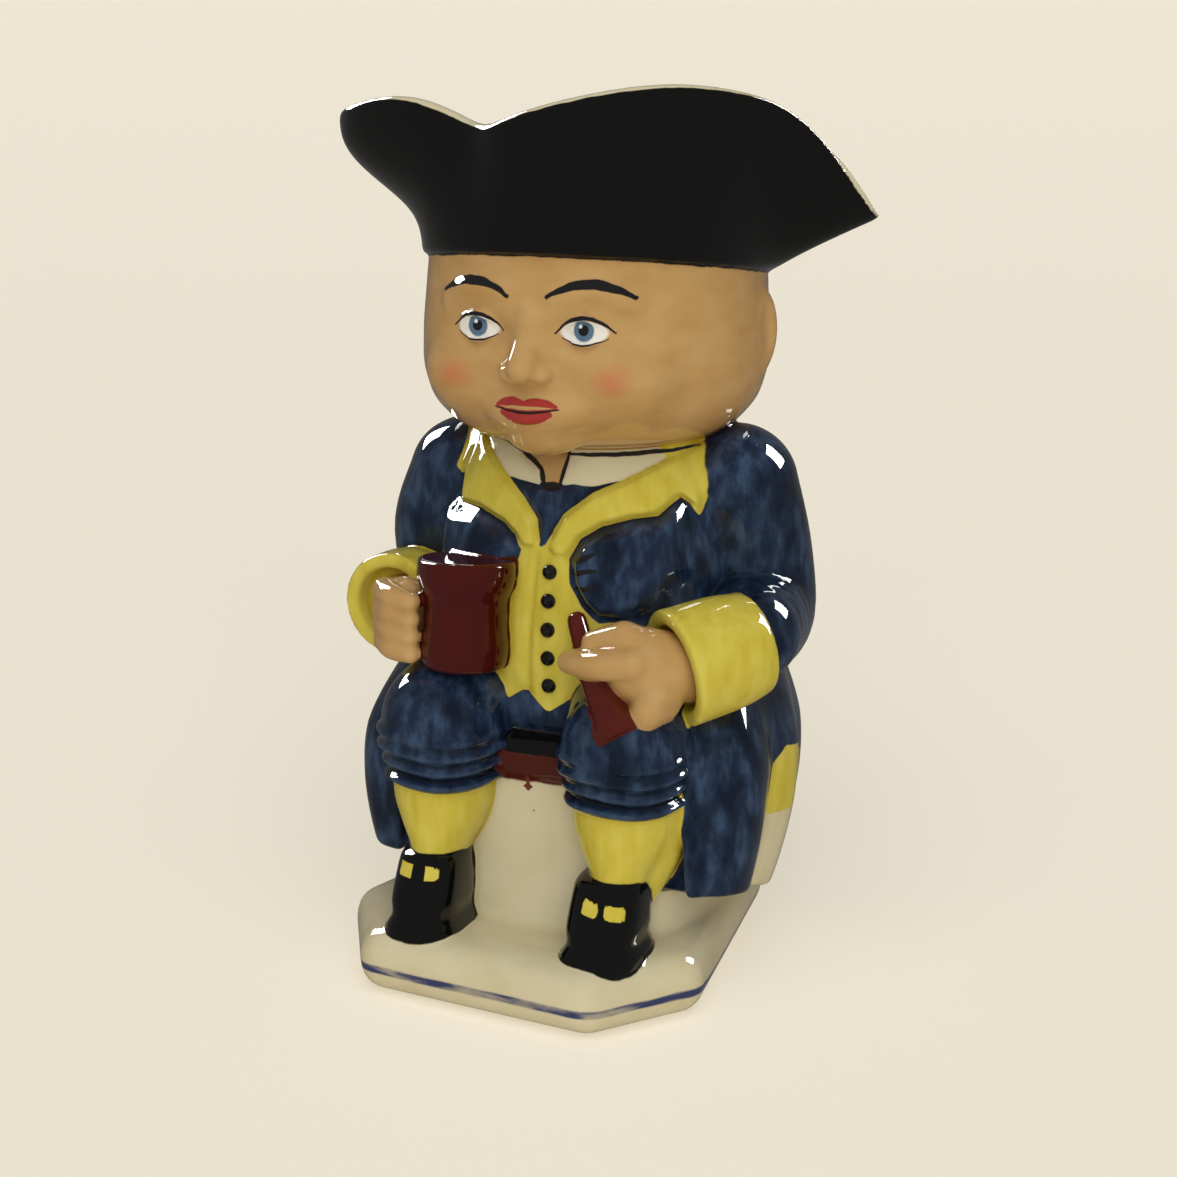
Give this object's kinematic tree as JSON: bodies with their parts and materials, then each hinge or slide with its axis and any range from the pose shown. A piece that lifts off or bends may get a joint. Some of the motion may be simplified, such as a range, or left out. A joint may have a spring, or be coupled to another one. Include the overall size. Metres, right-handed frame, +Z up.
{
  "type": "toby jug",
  "caption": "Hollow glazed earthenware jug cast as a seated figure holding a mug and pipe, poured from its three-cornered hat, with a loop handle behind.",
  "frame": {"origin": "centre of the bounding box in plan, at the underside of the foot ring", "axes": "+Z up through the hat, the figure faces -Y and its left hand is at +X"},
  "size_m": [0.1414, 0.1635, 0.24],
  "materials": {
    "glazed_earthenware": "gloss"
  },
  "bodies": {
    "root": {"toby_jug": "glazed_earthenware"}
  },
  "joints": []
}
